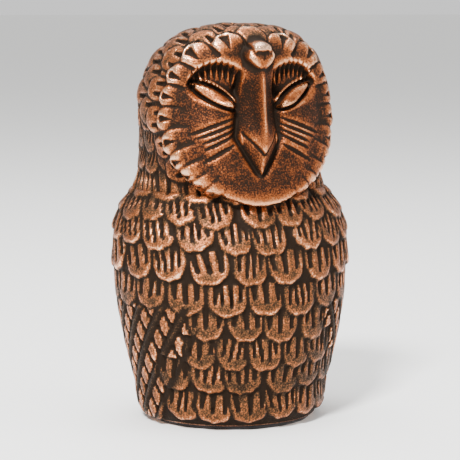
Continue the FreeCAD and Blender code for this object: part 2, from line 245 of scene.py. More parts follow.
class Relief:
    """Heights above a smooth skin, cut one mark after another; the last mark on a spot wins."""

    def __init__(self, points, normals):
        self.points = points
        self.normals = normals
        self.height = np.zeros(len(points))

    def near(self, point, radius):
        """Indexes of the vertices within radius of a point."""
        gap = self.points - point
        return np.flatnonzero(np.einsum("ij,ij->i", gap, gap) < radius * radius)

    def normal_at(self, chosen, point):
        """The skin's normal at the chosen vertex that is nearest to a point."""
        return self.normals[chosen[np.argmin(np.linalg.norm(self.points[chosen] - point, axis=1))]]

    def feather(self, tip, towards, width, length, rise, gouges, rng, pointed=1.9, worn=0.0, hatch=False,
                merge=False, normal=None, rim=0.27):
        """One feather like a roof tile, its tip at a point and its root opposite to towards."""
        root = tip - towards * length
        chosen = self.near((tip + root) / 2, 0.5 * math.hypot(length, width) + 1.5)
        if not len(chosen):
            return
        if normal is None:
            normal = self.normal_at(chosen, tip)
        along = towards - normal * (towards @ normal)
        along /= np.linalg.norm(along)
        across = np.cross(normal, along)
        chosen = chosen[self.normals[chosen] @ normal > FACING]
        gap = self.points[chosen] - tip
        a = gap @ across
        b = -(gap @ along)
        half = 0.5 * width
        round_end = half * rng.uniform(0.85, 1.1)
        q = (np.abs(a / half) ** pointed + np.clip((round_end - b) / round_end, 0, None) ** pointed)
        edge = (1 - q ** (1 / pointed)) * min(half, round_end)
        edge += 0.16 * np.sin(a * rng.uniform(1.2, 2.2) + rng.uniform(0, 6))
        share = np.clip(b / length, 0, 1)
        top = rise * (1.0 - (0.54 - 0.33 * worn) * share)
        if merge:
            top *= fall(share, 0.25, 0.95)
        top -= rise * 0.10 * (a / half) ** 2
        top -= 0.34 * rise * fall(edge, 0.0, 1.1) ** 2
        cut = self.gouge_cuts(a, b, half, length, gouges, rng, hatch, rim)
        depth = rise * (0.5 if hatch else 0.8)
        top = np.maximum(top - depth * cut, -0.1)
        mask = ramp(edge, -0.25, 0.2) * fall(b, length * 0.96, length * 1.04)
        self.height[chosen] = self.height[chosen] * (1 - mask) + top * mask

    def gouge_cuts(self, a, b, half, length, gouges, rng, hatch, rim):
        """How deep the feather's gouge cuts are, 0 to 1: wedges that start at the root."""
        cut = np.zeros_like(a)
        spread = half * (0.62 if gouges > 2 else 0.42)
        for k in range(gouges):
            place = 0.0 if gouges == 1 else (k / (gouges - 1) - 0.5) * 2
            centre = place * spread + rng.uniform(-0.12, 0.12) * half / max(gouges, 1)
            stop = length * (rim + 0.13 * place ** 2 + rng.uniform(-0.05, 0.09))
            fan = 1 - 0.12 * np.clip(1 - b / length, 0, 1)
            run = np.clip((b - stop) / (length - stop), 0, 1)
            room = 2 * spread / max(gouges - 1, 1)
            thick = room * ((0.34 if hatch else 0.16) + (0.12 if hatch else 0.22) * run ** 0.8)
            lean = rng.uniform(-0.12, 0.12) * (b - stop)
            wedge = 0.5 + 0.5 * np.cos(math.pi * np.clip(np.abs(a - centre * fan - lean) / thick, 0, 1))
            cut = np.maximum(cut, wedge * ramp(run, 0.0, 0.16))
        return cut

    def notch(self, start, end, half, depth, point_both=True):
        """One straight gouge cut, pointed at both ends or at its start alone."""
        middle = (start + end) / 2
        length = np.linalg.norm(end - start)
        chosen = self.near(middle, length / 2 + 2)
        if not len(chosen):
            return
        normal = self.normal_at(chosen, middle)
        chosen = chosen[self.normals[chosen] @ normal > FACING]
        along = (end - start) / length
        across = np.cross(normal, along)
        gap = self.points[chosen] - start
        run = (gap @ along) / length
        both = np.clip(run * (1 - run) * 4, 0, 1) ** 0.6
        taper = both if point_both else np.clip(run, 0, 1) ** 0.8 * ramp(1 - run, 0.0, 0.2)
        off = np.abs(gap @ across) / np.maximum(half * taper, 1e-3)
        cut = np.clip(1 - off ** 2, 0, 1) ** 0.8
        self.height[chosen] -= depth * cut * taper * ((run > 0) & (run < 1))


def torso_frame(turn, height):
    """A point of the torso's skin, and the ways down and sideways along it."""
    down = torso_point(turn, height - 0.5) - torso_point(turn, height + 0.5)
    sideways = torso_point(turn + 0.01, height) - torso_point(turn, height)
    return torso_point(turn, height), down / np.linalg.norm(down), sideways / np.linalg.norm(sideways)


# Rows of scale feathers, top row last: the tips' height in front, one feather's turn in degrees, the
# pitch, how far the row climbs towards the sides, how far round it goes, and width and length.
ROWS = (
    (2.6, -8, 22.0, 1.0, 70, 10.8, 8.6),
    (10.6, -11, 21.5, 1.5, 66, 10.4, 9.2),
    (17.2, 1, 18.6, 1.0, 57, 9.6, 9.2),
    (25.2, 8, 19.4, 1.0, 48, 9.8, 9.4),
    (32.2, -1, 19.8, 2.6, 180, 10.0, 9.2),
    (40.0, -8, 19.2, 3.6, 180, 10.0, 9.4),
    (48.4, 4, 18.4, 4.4, 180, 9.8, 9.2),
    (55.4, -3, 18.0, 3.4, 180, 9.4, 9.4),
    (61.4, 7, 20.0, 2.2, 180, 9.4, 9.4),
)
# How many of the rows lie on the torso alone; the rest run over the joint to the head.
NECK_ROWS = 7
WING_TOP = 36.0
SHAFT_PITCH = 6.9
SHAFT_SLANT = math.radians(25)
SHAFT_HALF = 1.15
BARB_PITCH = 4.2
BARB_SLANT = math.radians(60)


def wing_edge(height):
    """The turn, in degrees, where the breast gives way to the folded wing."""
    return hermite(height, np.array([0.0, 8.0, 18.0, 29.0, 40.0]), np.array([72.0, 61.0, 47.0, 37.0, 34.0]))


def wing_relief(turn, height):
    """Height of the folded wings' flight feathers, and where their smooth shafts are, 0 to 1."""
    wide = torso_size(height)[0]
    around = np.abs(turn)
    u = around * wide
    v = WING_TOP - height
    # s runs down a shaft, t across it towards the breast.
    s = v * math.cos(SHAFT_SLANT) + u * math.sin(SHAFT_SLANT)
    t = -(u * math.cos(SHAFT_SLANT) - v * math.sin(SHAFT_SLANT))
    lane = t / SHAFT_PITCH
    off = (lane - np.floor(lane)) * SHAFT_PITCH
    on_shaft = np.minimum(off, SHAFT_PITCH - off)
    shaft = ramp(SHAFT_HALF - on_shaft, -0.18, 0.12)
    # The vane in front of a shaft takes most of the lane; its barbs slope down and away.
    front = off
    q = (s - front / math.tan(BARB_SLANT)) / BARB_PITCH + 0.37 * np.floor(lane)
    saw = np.abs(q - np.floor(q) - 0.5) * 2
    middle = np.clip(1 - ((front - SHAFT_PITCH / 2) / (SHAFT_PITCH / 2 - SHAFT_HALF)) ** 2, 0, 1)
    barb = ramp(saw, 0.46 + 0.22 * middle, 0.74 + 0.22 * middle)
    vane = 0.1 + 1.05 * (1 - barb) * ramp(middle, 0.0, 0.4)
    lift = 1.25 - 0.35 * (on_shaft / SHAFT_HALF) ** 2
    high = vane * (1 - shaft) + np.maximum(lift, 0) * shaft
    inside = ramp(np.degrees(around) - wing_edge(height), -1.2, 1.2)
    below = ramp(WING_TOP - height, 0.0, 2.0)
    return high * inside * below, shaft * inside * below


def carve_torso(relief):
    """Cuts the whole torso's pattern: wings, tail, then scale feathers from the foot up."""
    rng = np.random.default_rng(11)
    p = relief.points
    back = torso_size(p[:, 2])[2]
    turn = np.arctan2(p[:, 0], back - p[:, 1])
    relief.height, _ = wing_relief(turn, p[:, 2])
    carve_tail(relief, rng)
    for row in ROWS[:NECK_ROWS]:
        carve_row(relief, row, rng)
    carve_neck(relief)
    return relief


def carve_neck(relief):
    """Cuts the rows that run over the joint from torso to head, alike on both castings."""
    rng = np.random.default_rng(31)
    for row in ROWS[NECK_ROWS:]:
        carve_row(relief, row, rng)


def carve_row(relief, row, rng):
    """Cuts one row of scale feathers round the torso."""
    tip_height, first, pitch, climb, reach, width, length = row
    count = int(round(360 / pitch))
    pitch = 360 / count if reach == 180 else pitch
    edge = float(wing_edge(np.array([tip_height + 3.0]))[0])
    for k in range(-(count // 2), count - count // 2):
        degrees = (first + k * pitch + 180) % 360 - 180 + rng.uniform(-1.6, 1.6)
        if abs(degrees) > (reach if reach == 180 else min(reach, edge + 3)):
            continue
        side = math.radians(degrees)
        rise_here = climb * (1 - math.cos(min(abs(side) * 1.5, math.pi))) / 2
        tip_z = tip_height + rise_here + rng.uniform(-0.7, 0.7)
        tip, down, sideways = torso_frame(side, max(tip_z, 1.35))
        lean = -0.25 * math.sin(side) if tip_height > 34 else 0.12 * math.sin(side)
        towards = down + sideways * (lean + rng.uniform(-0.1, 0.1))
        relief.feather(
            tip,
            towards / np.linalg.norm(towards),
            width * rng.uniform(1.0, 1.16),
            length * rng.uniform(0.94, 1.06),
            rng.uniform(1.25, 1.5) * (1.0 if tip_height > 28 else 0.86),
            int(rng.choice([3, 3, 4, 4])),
            rng,
            pointed=rng.uniform(1.9, 2.3),
            normal=np.cross(sideways, -down),
            rim=0.2 if tip_height > 38 else 0.27,
        )


def carve_tail(relief, rng):
    """Cuts the short tail: three long feathers that hang below the folded wings."""
    for degrees, tip_z, width in ((-15, 2.6, 8.0), (15, 2.6, 8.0), (0, 1.6, 9.0)):
        tip, down, _ = torso_frame(math.radians(180 + degrees), tip_z)
        relief.feather(tip, down, width, 22.0, 1.5, 2, rng, pointed=2.2, worn=0.6)


# ---- head


def nose_half(v):
    """Half width of the nose ridge and the bill, bottom to top."""
    knots = np.array([-10.6, -8.0, -4.6, -2.0, -0.5, 1.5, 5.0, 10.0, 15.0, 18.0, 20.6])
    values = np.array([0.3, 1.9, 3.9, 5.3, 5.9, 5.7, 5.3, 4.9, 4.6, 4.2, 3.4])
    return hermite(v, knots, values)


def face_relief(x, v):
    """How far the facial disc's carving stands forward, from x across and v up from its middle."""
    # Both sides of the face are cut alike.
    side = np.abs(x)
    _, reach, outline = disc_angle_and_reach(x, v)
    inside = outline - reach
    out = -0.5 * ramp(inside, 0.4, 9.0)
    # cheeks
    out += 1.7 * np.exp(-((side - 13.4) / 5.6) ** 2 - ((v - 1.0) / 7.0) ** 2)
    out += 0.7 * np.exp(-((side - 9.5) / 6.0) ** 2 - ((v + 9.0) / 4.0) ** 2)
    # brow sockets, deepest under the brow's edge
    socket = np.sqrt(((side - 10.8) / 8.4) ** 2 + ((v - 14.2) / 6.2) ** 2)
    out -= 2.4 * fall(socket, 0.66, 1.02) * ramp(v, 6.0, 12.5)
    # grooves beside the nose ridge
    beside = side - nose_half(v)
    out -= 1.9 * hump(beside - 0.2, 1.5) * ramp(v, -3.0, 1.0) * fall(v, 12.0, 16.5)
    out -= 0.9 * hump(beside - 0.4, 0.8) * fall(v, -3.0, 1.0) * ramp(v, -11.4, -9.8)
    out += eye_relief(side, v)
    out = beak_relief(side, v, out)
    return drop_relief(x, v, out * ramp(inside, -0.4, 0.6))


def eye_relief(side, v):
    """A closed almond eye: full lid, raised rim above it, slit, and the groove around."""
    slant = math.radians(31)
    p = math.cos(slant) * (side - 11.7) + math.sin(slant) * (v - 11.0)
    q = -math.sin(slant) * (side - 11.7) + math.cos(slant) * (v - 11.0)
    long = 6.9
    almond = 1.65 * np.clip(1 - (p / long) ** 2, 0, 1) ** 0.85
    share = np.abs(q) / np.maximum(almond, 0.05)
    within = fall(share, 0.86, 1.02) * (np.abs(p) < long)
    lid = 2.2 * np.sqrt(np.clip(1 - (share * 0.8) ** 2, 0, 1)) * (0.5 + 0.5 * (1 - (p / long) ** 2))
    gap = np.hypot(np.clip(np.abs(p) - long + 0.4, 0, None), np.clip(np.abs(q) - almond, 0, None))
    around = hump(gap - 0.4, 0.5) * (1 - within)
    ends = ramp(long - 0.2 - np.abs(p), 0, 2.0)
    upper = hump(q - almond - 1.15, 0.4) * ends
    lower = hump(q + almond + 1.1, 0.45) * ends
    return within * lid - 0.9 * around + 0.9 * upper + 0.35 * lower


def beak_relief(side, v, ground):
    """The ridge from the forehead to the bill, with the mouth's V and the hook."""
    soft = np.sqrt(side ** 2 + 0.6 ** 2) - 0.6
    share = np.clip(soft / np.maximum(nose_half(v) - 0.5, 0.05), 0, 1.4)
    knots = np.array([-10.6, -8.2, -5.4, -2.4, 0.6, 8.0, 14.0, 18.0, 20.8])
    crest = hermite(v, knots, np.array([0.7, 2.0, 3.4, 4.6, 5.2, 4.9, 4.4, 3.6, 2.6]))
    # A narrow rounded crest above broad hollow flanks; the bill is fuller.
    full = fall(v, -2.0, 6.0)
    flank = np.clip(1 - share, 0, 1)
    section = (1 - full) * (0.74 * flank ** 1.15 + 0.26 * hump(side, 1.3)) + full * flank ** 0.62
    within = fall(share, 0.9, 1.1) * ramp(v, -10.9, -10.2) * fall(v, 19.6, 21.4)
    foot = -2.2 * ramp(v, -4.0, 1.0) * fall(v, 12.0, 18.0) - 1.4 * fall(v, -4.0, 1.0)
    out = ground * (1 - within) + (foot + (crest - foot) * section) * within
    # The mouth's V runs parallel to the bill's lower edges, and the lower bill lies deeper.
    mouth = v + 4.8 - side * 1.22
    below = within * fall(mouth, -0.3, 0.3) * fall(side, 4.4, 5.2)
    out -= 0.8 * below
    out -= 0.8 * within * hump(mouth, 0.4) * fall(side, 4.2, 5.2)
    return out


def drop_relief(x, v, ground):
    """The forehead drop: a pitted teardrop that hangs over the top of the nose ridge."""
    drop = np.hypot(x / (4.4 - 0.34 * np.clip(21.8 - v, 0, 6.0)), (v - 21.5) / 3.7)
    bulge = np.sqrt(np.clip(1 - (drop * 0.84) ** 2, 0, 1))
    out = ground + fall(drop, 0.8, 1.04) * np.maximum(4.8 * (0.4 + 0.6 * bulge) - ground, 0)
    for pit_x, pit_v in ((-1.5, 22.6), (0.3, 21.2), (1.4, 23.0)):
        out -= 0.22 * np.exp(-((x - pit_x) / 0.35) ** 2 - ((v - pit_v) / 0.9) ** 2)
    return out


WHISKERS = (
    ((6.3, 5.0), (19.3, 0.2)),
    ((6.2, 3.4), (17.2, -0.6)),
    ((6.2, 2.0), (15.6, -1.9)),
    ((6.2, 0.7), (15.3, -3.7)),
    ((6.5, -1.9), (15.6, -7.0)),
)
BROW_CUTS = 9


def face_point(x, v):
    """A point of the facial disc's smooth front."""
    return np.array([x, float(disc_front(np.array([x]), np.array([v + DISC_MIDDLE]))[0]), v + DISC_MIDDLE])


def head_point(direction):
    """Where a ray from the head's heart leaves the smooth skin."""
    direction = direction / np.linalg.norm(direction)
    low, high = 4.0, 44.0
    for _ in range(30):
        middle = (low + high) / 2
        inside = head_field(HEAD_HEART + direction * middle) < 0
        low, high = (middle, high) if inside else (low, middle)
    return HEAD_HEART + direction * low


def ruff_point(angle, beyond):
    """A point of the head that lies beyond the disc's outline by so many millimetres, and its way out."""
    across, up = math.cos(angle), math.sin(angle)
    _, _, outline = disc_angle_and_reach(np.array([across]), np.array([up]))
    rim = face_point(across * outline[0], up * outline[0]) - HEAD_HEART
    polar = math.atan2(math.hypot(rim[0], rim[2]), -rim[1])
    polar += beyond / HEAD_CURVE
    way = math.atan2(rim[2], rim[0])

    def skin(polar):
        flat = math.sin(polar)
        return head_point(np.array([flat * math.cos(way), -math.cos(polar), flat * math.sin(way)]))

    spot = skin(polar)
    out = skin(polar + 0.02) - spot
    return spot, out / np.linalg.norm(out)


# Rings of lobes round the disc, outermost first: how far their tips lie beyond the outline, the angle
# of one lobe and the pitch in degrees, how low the ring reaches on each side, width, length, gouges.
RINGS = (
    (38.8, 90, 24.0, 46, 8.4, 8.4, 2),
    (34.0, 78, 22.0, 44, 8.4, 8.4, 2),
    (29.2, 90, 21.0, 36, 8.6, 8.4, 2),
    (24.4, 80, 20.0, 27, 8.6, 8.4, 2),
    (19.4, 78, 19.0, 15, 8.2, 8.2, 2),
    (14.6, 90, 18.6, 0, 8.0, 8.0, 2),
    (9.8, 81, 17.6, -34, 8.0, 7.4, 2),
)


def carve_head(relief):
    """Cuts the whole head's pattern: nape rows, rings of lobes, and then the face."""
    rng = np.random.default_rng(23)
    carve_neck(relief)
    for tip_z in (69.6, 75.7, 81.8, 88.0, 94.2, 100.0, 105.0):
        wide = 26.0 * math.sqrt(max(1 - max((tip_z - 84.0) / 26.0, 0) ** 2, 0.1))
        pitch = math.degrees(6.6 / wide)
        count = int(360 // pitch)
        for k in range(count):
            degrees = -180 + (k + 0.5 * (int(tip_z) % 2)) * 360 / count
            if abs(degrees) < 38:
                continue
            side = math.radians(degrees)
            lift = tip_z - HEAD_HEART[2]
            flat = np.array([math.sin(side), -math.cos(side), 0.0]) * wide
            spot = head_point(flat + np.array([0, 1.0, lift + rng.uniform(-0.8, 0.8)]))
            towards = np.array([0.0, 0.45 if abs(degrees) < 120 else 0.3, -1.0])
            towards = towards / np.linalg.norm(towards)
            relief.feather(spot, towards, 7.0, 9.4, 1.05, 4, rng, pointed=1.8, worn=0.5, hatch=True)
    for beyond, first, pitch, lowest, width, length, gouges in RINGS:
        for angle in ring_angles(first, pitch, lowest):
            add_lobe(relief, angle, beyond + rng.uniform(-0.5, 0.5), width, length, gouges, rng)
    _, reach, outline = disc_angle_and_reach(relief.points[:, 0], relief.points[:, 2] - DISC_MIDDLE)
    on_disc = ramp(outline - reach, -0.4, 0.6) * (relief.points[:, 1] < -8.0)
    relief.height *= 1 - on_disc
    add_lobe(relief, 92, 9.0, 9.6, 7.6, 0, rng, rise=1.8)
    first_ring(relief, rng)
    carve_face(relief)
    return relief


def ring_angles(first, pitch, lowest):
    """Angles round the disc, both ways from the first, down to the lowest on each side."""
    steps = range(-12, 13)
    return [a for a in (first + k * pitch for k in steps) if lowest <= a <= 180 - lowest]


def add_lobe(relief, degrees, beyond, width, length, gouges, rng, rise=1.35):
    """One rounded lobe that points away from the face."""
    spot, out = ruff_point(math.radians(degrees), beyond)
    width = width * rng.uniform(0.93, 1.05)
    relief.feather(spot, out, width, length, rise, gouges, rng, pointed=2.0, worn=0.4)
    return spot, out


# The first ring's lobes down one side: angle round the disc's middle, and width.
FIRST_LOBES = (
    (72.6, 9.4), (53.6, 9.4), (38.4, 7.8), (25.8, 6.8), (12.0, 7.2), (-3.0, 7.2), (-17.0, 6.4),
    (-28.8, 5.4), (-39.2, 5.0), (-49.6, 4.8),
)


def first_ring(relief, rng):
    """The ring of big copper lobes that frames the disc, each with one wedge cut."""
    for mirror in (False, True):
        for degrees, width in FIRST_LOBES:
            angle = math.radians(180 - degrees if mirror else degrees)
            reach = 0.34 * width + 2.4
            spot, out = ruff_point(angle, reach)
            relief.feather(
                spot, out, width, reach + 2.6, 1.6, 0, rng, pointed=2.1, worn=1.0, merge=True
            )
            inner, _ = ruff_point(angle, 0.4)
            relief.notch(inner, spot - out * 0.05 * width, 0.19 * width, 1.3, point_both=False)
    return relief


def carve_face(relief):
    """Cuts the whiskers and the brow's fan of gouges into the disc."""
    for side in (-1, 1):
        for (x0, v0), (x1, v1) in WHISKERS:
            relief.notch(face_point(side * x0, v0), face_point(side * x1, v1), 0.72, 0.7)
        for k in range(BROW_CUTS):
            x = 4.9 + k * 1.45
            top = 20.6 - 0.085 * (x - 10.6) ** 2
            lean = 0.18 * (x - 9.0) / 4
            relief.notch(
                face_point(side * (x - lean), top - 5.6), face_point(side * (x + lean), top), 0.6, 1.0
            )


# ---- meshes


def read_points(mesh):
    """A mesh's vertex places as an array."""
    flat = np.empty(len(mesh.vertices) * 3)
    mesh.vertices.foreach_get("co", flat)
    return flat.reshape(-1, 3)


def write_points(mesh, points):
    """Moves a mesh's vertices."""
    mesh.vertices.foreach_set("co", np.ascontiguousarray(points, dtype=np.float64).ravel())
    mesh.update()


def read_edges(mesh):
    """The vertices at the start and at the end of every edge."""
    flat = np.empty(len(mesh.edges) * 2, dtype=np.int64)
    mesh.edges.foreach_get("vertices", flat)
    return flat[0::2], flat[1::2]


def read_normals(mesh):
    """A mesh's smooth vertex normals as an array."""
    flat = np.empty(len(mesh.vertices) * 3)
    mesh.vertex_normals.foreach_get("vector", flat)
    return flat.reshape(-1, 3)


def new_primitive(name, adder, **settings):
    """Adds a primitive with everything else deselected, and names it."""
    bpy.ops.object.select_all(action="DESELECT")
    adder(**settings)
    piece = bpy.context.object
    piece.name = name
    piece.data.name = name
    return piece


def apply_modifier(piece, kind, **settings):
    """Adds a modifier, sets it and applies it."""
    modifier = piece.modifiers.new(kind.lower(), kind)
    for setting, value in settings.items():
        setattr(modifier, setting, value)
    bpy.context.view_layer.objects.active = piece
    bpy.ops.object.modifier_apply(modifier=modifier.name)


def neighbours_mean(points, starts, ends):
    """The mean place of each vertex's neighbours."""
    count = np.bincount(starts, minlength=len(points)) + np.bincount(ends, minlength=len(points))
    total = np.empty_like(points)
    for k in range(points.shape[1]):
        total[:, k] = np.bincount(starts, points[ends, k], len(points))
        total[:, k] += np.bincount(ends, points[starts, k], len(points))
    return total / np.maximum(count, 1)[:, None]


def soften(mesh, share):
    """Moves vertices a share of the way to their neighbours' middle, as casting rounds a carving."""
    points = read_points(mesh)
    at_joint = np.abs(points[:, 2] / MM - NECK) < 0.05
    share = np.where(at_joint, 0.0, share)[:, None]
    write_points(mesh, points * (1 - share) + neighbours_mean(points, *read_edges(mesh)) * share)


def standing_proud(mesh, radius):
    """How far each vertex stands above its surroundings, smoothed over a radius; all in millimetres."""
    points = read_points(mesh) / MM
    starts, ends = read_edges(mesh)
    step = np.median(np.linalg.norm(points[starts] - points[ends], axis=1))
    smooth = points.copy()
    for _ in range(max(1, round((radius / step) ** 2))):
        smooth = neighbours_mean(smooth, starts, ends)
    return np.einsum("ij,ij->i", points - smooth, read_normals(mesh))


def paint(mesh, name, values):
    """Stores one number per vertex for the material to read."""
    layer = mesh.attributes.new(name, "FLOAT", "POINT")
    layer.data.foreach_set("value", np.asarray(values, dtype=np.float32))


def paint_wear(mesh, points, height, raised):
    """Stores how far the surface stands out; at the joint the carving's own height alone counts."""
    joint = fall(np.abs(points[:, 2] - NECK), 1.0, 2.8) * (points[:, 1] > CHIN_BACK)
    paint(mesh, "proud", standing_proud(mesh, WIDE_WEAR) * (1 - joint) + 0.6 * (height - 0.6) * joint)
    paint(mesh, "sharp", standing_proud(mesh, SHARP_WEAR) * (1 - joint))
    paint(mesh, "raised", raised)


def finish_piece(piece, material, slot, *nodes):
    """Gives a finished piece its material and its place in the frame."""
    piece.data.materials.clear()
    piece.data.materials.append(material)
    bpy.context.view_layer.objects.active = piece
    bpy.ops.object.shade_smooth_by_angle(angle=math.radians(75))
    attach(piece, "root")
    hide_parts(*nodes)


def torso_mesh(across, up):
    """The torso's smooth shell: a ring laid onto the casting's section, outside and inside."""
    rows = up + TORSO_HIDDEN
    piece = new_primitive(
        "owl_torso",
        bpy.ops.mesh.primitive_torus_add,
        major_segments=across,
        minor_segments=rows,
        major_radius=2.0,
        minor_radius=1.0,
    )
    p = read_points(piece.data)
    beside = np.hypot(p[:, 0], p[:, 1]) - 2.0
    row = np.round(np.arctan2(p[:, 2], beside) / (2 * math.pi) * rows).astype(int) % rows
    turn = np.arctan2(p[:, 0], -p[:, 1])
    turn = turn - 0.22 * np.sin(turn)
    return piece, torso_section(turn, row, up), row < up


def torso_section(turn, row, up):
    """Lays every row of the ring on the casting: up the outside, over the neck, down the inside."""
    outer_z = FOOT + (NECK - FOOT) * np.clip(row / (up - 1), 0, 1)
    outer = torso_point(turn, outer_z)
    # The hidden rows go over the neck's edge, down the inside and round the closing disc's seat.
    rows = [("top", 0.3, NECK), ("top", 0.7, NECK)]
    rows += [("ring", NECK_BORE, height) for height in (NECK, NECK - 0.8, NECK - WALL)]
    rows += [("skin", WALL * 1.5, NECK - WALL)]
    rows += [("skin", WALL, height) for height in (56.0, 40.0, 20.0)]
    rows += [("ring", MOUTH, 5.0), ("ring", MOUTH, SEAT_TOP), ("ring", SEAT, SEAT_TOP), ("ring", SEAT, FOOT)]
    rows += [("ring", SEAT + 0.8, FOOT)]
    points = outer.copy()
    for k, (kind, value, height) in enumerate(rows):
        chosen = row == up + k
        t = turn[chosen]
        circle = np.column_stack([np.sin(t), -np.cos(t), np.zeros(len(t))])
        level = np.full(len(t), height)
        if kind == "skin":
            points[chosen] = torso_point(t, level, value)
        elif kind == "ring":
            points[chosen] = circle * value + [0, 0, height]
        else:
            edge = torso_point(t, level)
            points[chosen] = edge * (1 - value) + (circle * NECK_BORE + [0, 0, height]) * value
    return points


def head_mesh(across, up):
    """The head's smooth shell: a ball laid onto the outside, the spigot and the hollow within."""
    rings = up + HEAD_HIDDEN
    piece = new_primitive(
        "owl_head", bpy.ops.mesh.primitive_uv_sphere_add, segments=across, ring_count=rings, radius=1.0
    )
    p = read_points(piece.data)
    row = np.round(np.arccos(np.clip(p[:, 2], -1, 1)) / math.pi * rings).astype(int)
    turn = np.arctan2(p[:, 0], -p[:, 1])
    # Vertices crowd towards the face, where the cuts are finest.
    turn = turn - 0.34 * np.sin(turn)
    last = math.atan2(SPIGOT, NECK - HEAD_HEART[2])
    polar = np.clip(row / (up - 1), 0, 1) * last
    rays = np.stack([np.sin(polar) * np.sin(turn), -np.sin(polar) * np.cos(turn), np.cos(polar)], axis=-1)
    points = cast_rays(rays)
    step = row - up
    floor, roof, middle, tall, wide, deep = HOLLOW
    inner_rows = HEAD_HIDDEN - len(SPIGOT_ROWS)
    hollow_heights = np.linspace(floor, roof, inner_rows)
    for k in range(HEAD_HIDDEN + 1):
        chosen = step == k
        if not chosen.any():
            continue
        t = turn[chosen]
        if k < len(SPIGOT_ROWS):
            across, height = SPIGOT_ROWS[k]
            along = across
        else:
            height = hollow_heights[min(k - len(SPIGOT_ROWS), inner_rows - 1)]
            share = math.sqrt(max(1 - ((height - middle) / tall) ** 2, 0)) if k < HEAD_HIDDEN else 0.0
            across = wide * share
            along = deep * share
        points[chosen] = np.column_stack([across * np.sin(t), -along * np.cos(t), np.full(t.shape, height)])
    return piece, points, row < up


def cast_rays(rays):
    """Where each ray from the head's heart leaves the smooth skin or meets the neck's plane."""
    low = np.full(len(rays), 4.0)
    high = np.full(len(rays), 46.0)
    for _ in range(26):
        middle = (low + high) / 2
        p = HEAD_HEART + rays * middle[:, None]
        wide, deep, back = torso_size(p[:, 2])
        clear = np.hypot(p[:, 0] / (wide + JOINT_GAP), (p[:, 1] - back) / (deep + JOINT_GAP)) > 1
        inside = (head_field(p) < 0) & (clear | (p[:, 2] > HEAD_FOOT))
        low = np.where(inside, middle, low)
        high = np.where(inside, high, middle)
    return HEAD_HEART + rays * low[:, None]


def carved(points, normals, outer, carve):
    """Runs a carving function on the outside's vertices and returns their heights."""
    relief = carve(Relief(points[outer], normals[outer]))
    height = np.zeros(len(points))
    height[outer] = relief.height
    return height


def build_torso(detail):
    """The whole torso piece, ready for its material."""
    piece, points, outer = torso_mesh(int(AROUND * detail), int(UP * detail))
    write_points(piece.data, points * MM)
    normals = read_normals(piece.data)
    height = carved(points, normals, outer, carve_torso)
    fade = ramp(points[:, 2], FOOT, FOOT + 1.0)
    points = points + normals * (height * np.where(outer, fade, 0))[:, None]
    points[:, 2] = np.where(outer, np.clip(points[:, 2], FOOT, NECK), points[:, 2])
    write_points(piece.data, points * MM)
    mesh = piece.data
    soften(mesh, CAST_SOFTNESS)
    p = read_points(mesh) / MM
    back = torso_size(p[:, 2])[2]
    turn = np.arctan2(p[:, 0], back - p[:, 1])
    _, shaft = wing_relief(turn, p[:, 2])
    above = ramp(np.array([WING_TOP]) - p[:, 2], 0.0, 3.0)
    paint_wear(mesh, p, height, height)
    # Kept dark: the wing shafts, which are smooth unrubbed patina, and the bottom millimetre of the foot,
    # which is painted shade where the rim turns under onto the floor.
    paint(mesh, "dull_and_shade", np.maximum(shaft * above, fall(p[:, 2], FOOT + 0.3, FOOT + 1.1)))
    paint(mesh, "face", np.zeros(len(p)))
    return piece


def build_head(detail):
    """The whole head piece, ready for its material."""
    piece, points, outer = head_mesh(int(AROUND * detail), int(UP * detail))
    write_points(piece.data, points * MM)
    normals = read_normals(piece.data)
    height = carved(points, normals, outer, carve_head)
    front = outer & (points[:, 1] < FACE_BACK) & (normals[:, 1] < -0.3)
    v = points[:, 2] - DISC_MIDDLE
    forward = np.zeros(len(points))
    forward[front] = face_relief(points[front, 0], v[front])
    nape = outer & (points[:, 2] >= HEAD_FOOT - 0.01) & (points[:, 1] > CHIN_BACK)
    points = points + normals * height[:, None]
    points[:, 2] = np.where(nape, np.maximum(points[:, 2], HEAD_FOOT), points[:, 2])
    points[:, 1] -= forward
    write_points(piece.data, points * MM)
    mesh = piece.data
    soften(mesh, CAST_SOFTNESS)
    p = read_points(mesh) / MM
    _, reach, outline = disc_angle_and_reach(p[:, 0], p[:, 2] - DISC_MIDDLE)
    ahead = p[:, 1] < FACE_BACK
    on_face = ramp(outline - reach, -1.0, 0.6) * ahead
    rim = 0.7 * ramp(outline - reach, -6.0, -3.6) * ahead
    paint_wear(mesh, p, height, np.where(on_face > 0.5, 0.72 + 0.06 * forward, height))
    chin = fall(p[:, 2] - DISC_MIDDLE, -17.0, -11.0)
    paint(mesh, "dull_and_shade", 0.6 * hump(outline - reach, 1.6) * ahead * chin)
    paint(mesh, "face", np.maximum(on_face, rim))
    return piece


# ---- materials


def linear(hex_colour):
    """An sRGB hex colour as linear red, green, blue and alpha."""
    parts = [int(hex_colour[i:i + 2], 16) / 255 for i in (0, 2, 4)]
    return tuple(c / 12.92 if c <= 0.04045 else ((c + 0.055) / 1.055) ** 2.4 for c in parts) + (1.0,)


def add_node(tree, kind, settings=None, inputs=None, links=None):
    """Adds a node: its settings, its inputs' values, and links from other nodes' outputs."""
    node = tree.nodes.new(kind)
    for name, value in (settings or {}).items():
        setattr(node, name, value)
    for name, value in (inputs or {}).items():
        node.inputs[name].default_value = value
    for name, output in (links or {}).items():
        tree.links.new(output, node.inputs[name])
    return node


def new_material(name):
    """An empty material: its node tree and its shader, which is already linked to the output."""
    material = bpy.data.materials.new(name)
    material.use_nodes = True
    tree = material.node_tree
    tree.nodes.clear()
    shader = add_node(tree, "ShaderNodeBsdfPrincipled")
    add_node(tree, "ShaderNodeOutputMaterial", links={"Surface": shader.outputs[0]})
    return material, tree, shader


